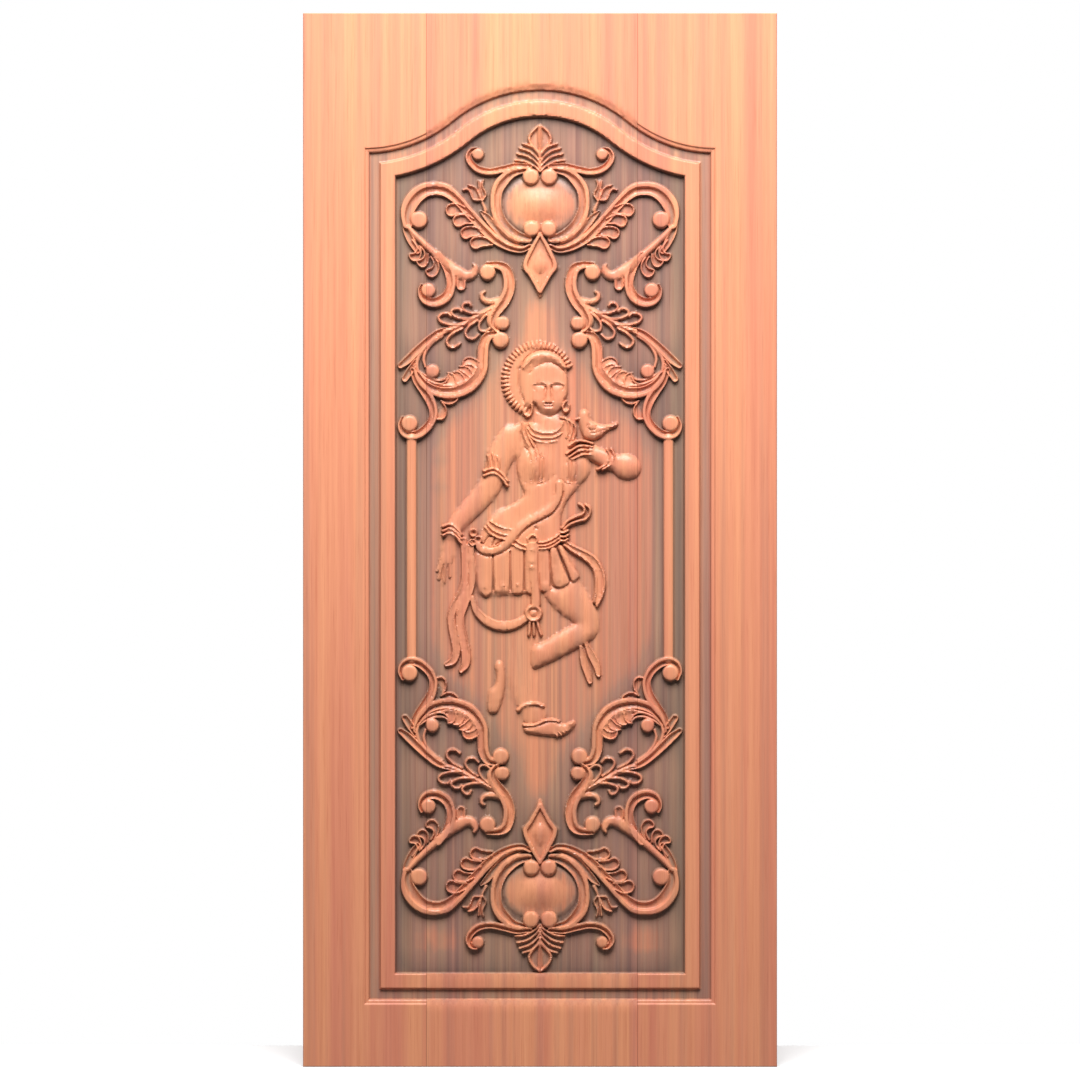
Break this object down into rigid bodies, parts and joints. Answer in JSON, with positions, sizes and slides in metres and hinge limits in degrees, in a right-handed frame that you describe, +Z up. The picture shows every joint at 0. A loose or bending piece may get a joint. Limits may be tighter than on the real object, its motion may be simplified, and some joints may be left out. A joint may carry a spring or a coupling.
{
  "type": "carved wooden door leaf",
  "caption": "Solid teak main-door leaf of edge-glued boards, its arch-topped sunk field carved with leafy scrollwork round a dancing figure in low relief.",
  "frame": {"origin": "middle of the leaf's bottom edge, half way through its thickness", "axes": "+X across the leaf to the right as seen from the carved face, +Y from the carved face to the plain back, +Z up the leaf"},
  "size_m": [0.914, 0.045, 2.032],
  "materials": {
    "teak": "satin"
  },
  "bodies": {
    "root": {"left_board": "teak", "centre_board": "teak", "right_board": "teak"}
  },
  "joints": []
}
